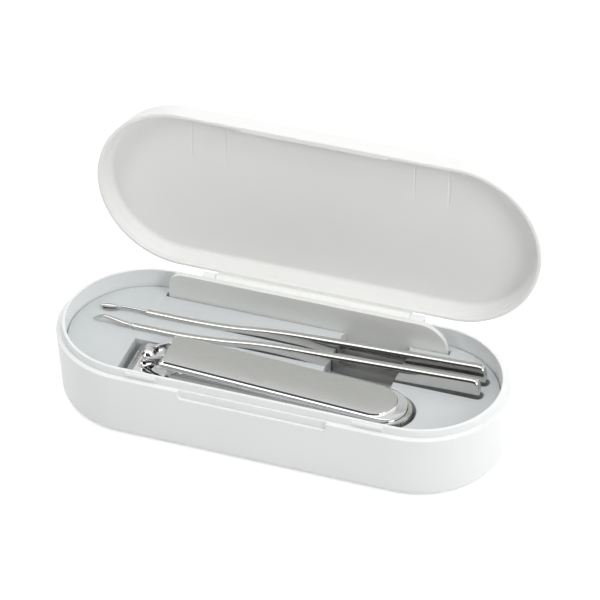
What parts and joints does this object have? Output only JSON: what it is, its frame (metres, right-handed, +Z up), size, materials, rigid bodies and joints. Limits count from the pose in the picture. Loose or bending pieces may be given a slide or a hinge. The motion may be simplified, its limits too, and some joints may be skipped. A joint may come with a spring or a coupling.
{
  "type": "manicure set case",
  "caption": "Long round-ended plastic travel case, lid open on its rear hinge, with a moulded tray holding a nail clipper, two slim metal picks and a nail file.",
  "frame": {"origin": "middle of the flat underside of the base, on the table", "axes": "+Z up, +X along the length towards the end where the flat tool handles lie, +Y towards the hinge, -Y the front with the thumb scoop"},
  "size_m": [0.135, 0.0654, 0.0748],
  "materials": {
    "white_plastic": "fine matt",
    "grey_plastic": "smooth satin",
    "chrome_plate": "bright",
    "satin_steel": "satin",
    "pin_steel": "plain"
  },
  "bodies": {
    "case_base": {"base_shell": "white_plastic", "tray_insert": "grey_plastic", "hinge_pin": "pin_steel"},
    "lid": {"lid_shell": "white_plastic"},
    "clipper": {"clipper_lower_arm": "chrome_plate", "clipper_tail_rivets": "pin_steel", "clipper_post": "chrome_plate", "clipper_lever_pin": "pin_steel", "clipper_catcher": "chrome_plate"},
    "clipper_jaw": {"clipper_upper_arm": "chrome_plate"},
    "clipper_lever": {"clipper_lever": "satin_steel"},
    "ear_pick": {"ear_pick_handle": "chrome_plate", "ear_pick_tip": "chrome_plate"},
    "cuticle_pick": {"cuticle_pick_handle": "chrome_plate", "cuticle_pick_tip": "chrome_plate"},
    "file": {"nail_file": "satin_steel"}
  },
  "joints": [
    {"name": "lid_hinge", "type": "hinge", "parent": "case_base", "child": "lid", "pos_m": [0, 0.0277, 0.0213], "axis": [-1, 0, 0], "range_deg": [-93.2, 0]},
    {"name": "clipper_lift", "type": "slide", "parent": "case_base", "child": "clipper", "axis": [0, 0, 1], "range_m": [0, 0.065]},
    {"name": "jaw_squeeze", "type": "hinge", "parent": "clipper", "child": "clipper_jaw", "pos_m": [0.0413, -0.0108, 0.0142], "axis": [0, -1, 0], "range_deg": [0, 1.1], "stiffness_Nm_per_rad": 5},
    {"name": "lever_tilt", "type": "hinge", "parent": "clipper", "child": "clipper_lever", "pos_m": [-0.0365, -0.0108, 0.0201], "axis": [0, -1, 0], "range_deg": [0, 75]},
    {"name": "ear_pick_lift", "type": "slide", "parent": "case_base", "child": "ear_pick", "axis": [0, 0, 1], "range_m": [0, 0.065]},
    {"name": "cuticle_pick_lift", "type": "slide", "parent": "case_base", "child": "cuticle_pick", "axis": [0, 0, 1], "range_m": [0, 0.065]},
    {"name": "file_lift", "type": "slide", "parent": "case_base", "child": "file", "axis": [0, 0, 1], "range_m": [0, 0.065]}
  ]
}
